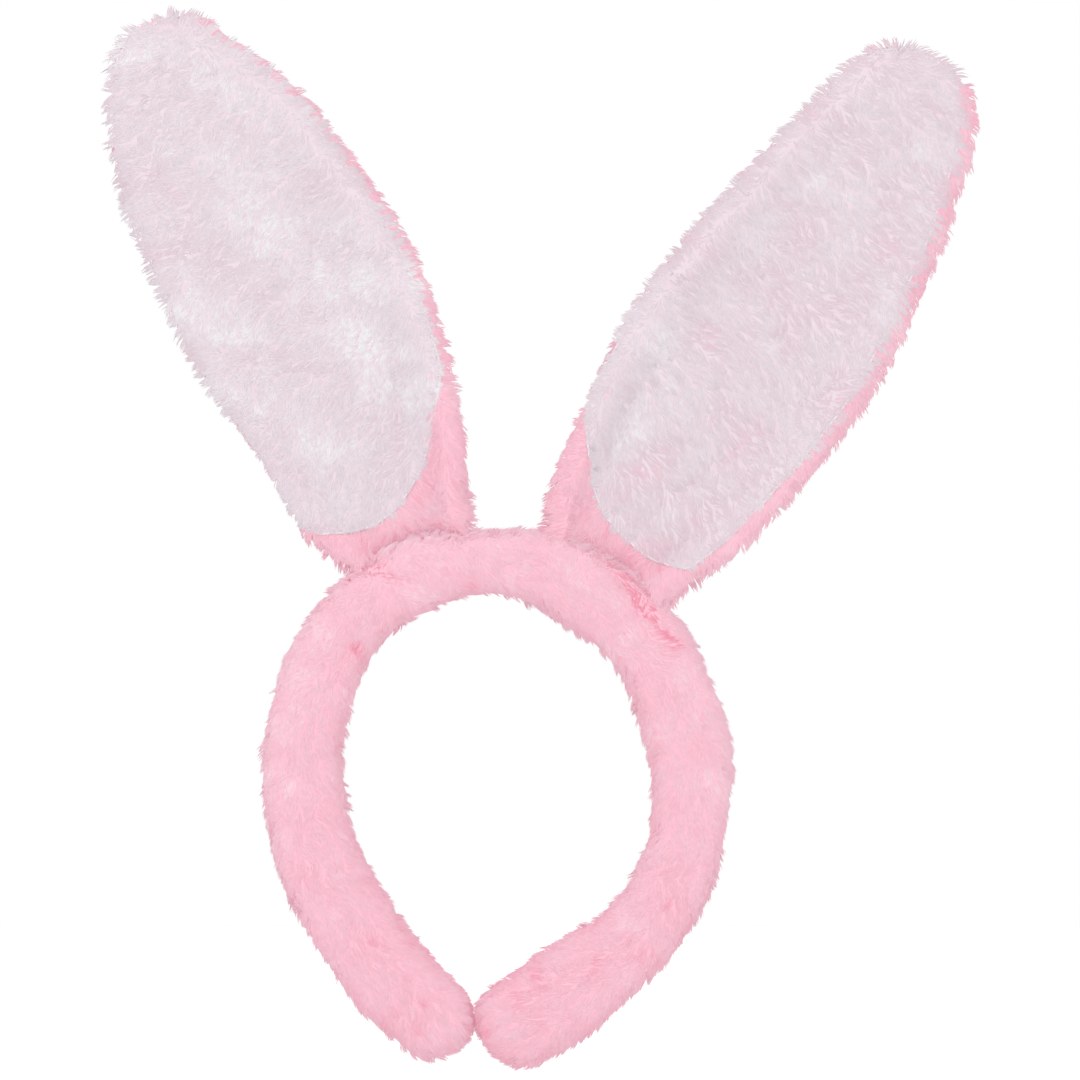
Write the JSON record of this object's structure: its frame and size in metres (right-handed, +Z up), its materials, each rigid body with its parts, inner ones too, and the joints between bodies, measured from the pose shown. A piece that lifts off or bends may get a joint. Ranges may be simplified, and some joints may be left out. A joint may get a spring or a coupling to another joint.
{
  "type": "animal ears headband",
  "caption": "Padded C-shaped headband in pink plush with tall plush bunny ears that bend at the base; the arms spring open to grip a head.",
  "frame": {"origin": "centre of the crown's round inner face, in the middle of the band's depth, which is the centre of the head grip", "axes": "+X to the right as seen from the front, +Y to the back, +Z up; left and right in names are those of a person who looks at the front"},
  "size_m": [0.2719, 0.0308, 0.3342],
  "materials": {
    "pink_plush": "short pink plush pile, brushed to one side",
    "white_plush": "short off-white plush pile with a pink tint",
    "padding_foam": "soft polyurethane foam",
    "ear_wadding": "polyester wadding",
    "core_plastic": "plain moulded plastic",
    "ear_wire": "galvanised soft wire",
    "crimp_metal": "plain tube",
    "pink_thread": "polyester sewing thread",
    "white_thread": "polyester sewing thread"
  },
  "bodies": {
    "crown": {"crown_core_strip": "core_plastic", "crown_foam": "padding_foam", "crown_plush_sleeve": "pink_plush", "crown_sleeve_seam": "pink_thread", "left_ear_base_stitches": "pink_thread", "right_ear_base_stitches": "pink_thread"},
    "left_arm": {"left_arm_core_strip": "core_plastic", "left_arm_foam": "padding_foam", "left_arm_plush_sleeve": "pink_plush", "left_arm_sleeve_seam": "pink_thread"},
    "right_arm": {"right_arm_core_strip": "core_plastic", "right_arm_foam": "padding_foam", "right_arm_plush_sleeve": "pink_plush", "right_arm_sleeve_seam": "pink_thread"},
    "left_ear": {"left_ear_back_panel": "pink_plush", "left_ear_front_panel": "white_plush", "left_ear_padding": "ear_wadding", "left_ear_wire_loop": "ear_wire", "left_ear_wire_crimp": "crimp_metal", "left_ear_edge_seam": "white_thread"},
    "right_ear": {"right_ear_back_panel": "pink_plush", "right_ear_front_panel": "white_plush", "right_ear_padding": "ear_wadding", "right_ear_wire_loop": "ear_wire", "right_ear_wire_crimp": "crimp_metal", "right_ear_edge_seam": "white_thread"}
  },
  "joints": [
    {"name": "left_arm_flex", "type": "hinge", "parent": "crown", "child": "left_arm", "pos_m": [-0.06269, 0, 0.03333], "axis": [0, 1, 0], "range_deg": [0, 28], "stiffness_Nm_per_rad": 0.4, "springref_deg": -5.73},
    {"name": "right_arm_flex", "type": "hinge", "parent": "crown", "child": "right_arm", "pos_m": [0.06269, 0, 0.03333], "axis": [0, -1, 0], "range_deg": [0, 28], "stiffness_Nm_per_rad": 0.4, "springref_deg": -5.73},
    {"name": "left_ear_bend", "type": "hinge", "parent": "crown", "child": "left_ear", "pos_m": [-0.03229, 0, 0.06924], "axis": [0.9063, 0, 0.4226], "range_deg": [-60, 60]},
    {"name": "right_ear_bend", "type": "hinge", "parent": "crown", "child": "right_ear", "pos_m": [0.03992, 0, 0.06514], "axis": [0.8526, 0, -0.5225], "range_deg": [-60, 60]}
  ],
  "couplings": [
    {"joint": "right_arm_flex", "follows": "left_arm_flex", "ratio": 1}
  ]
}
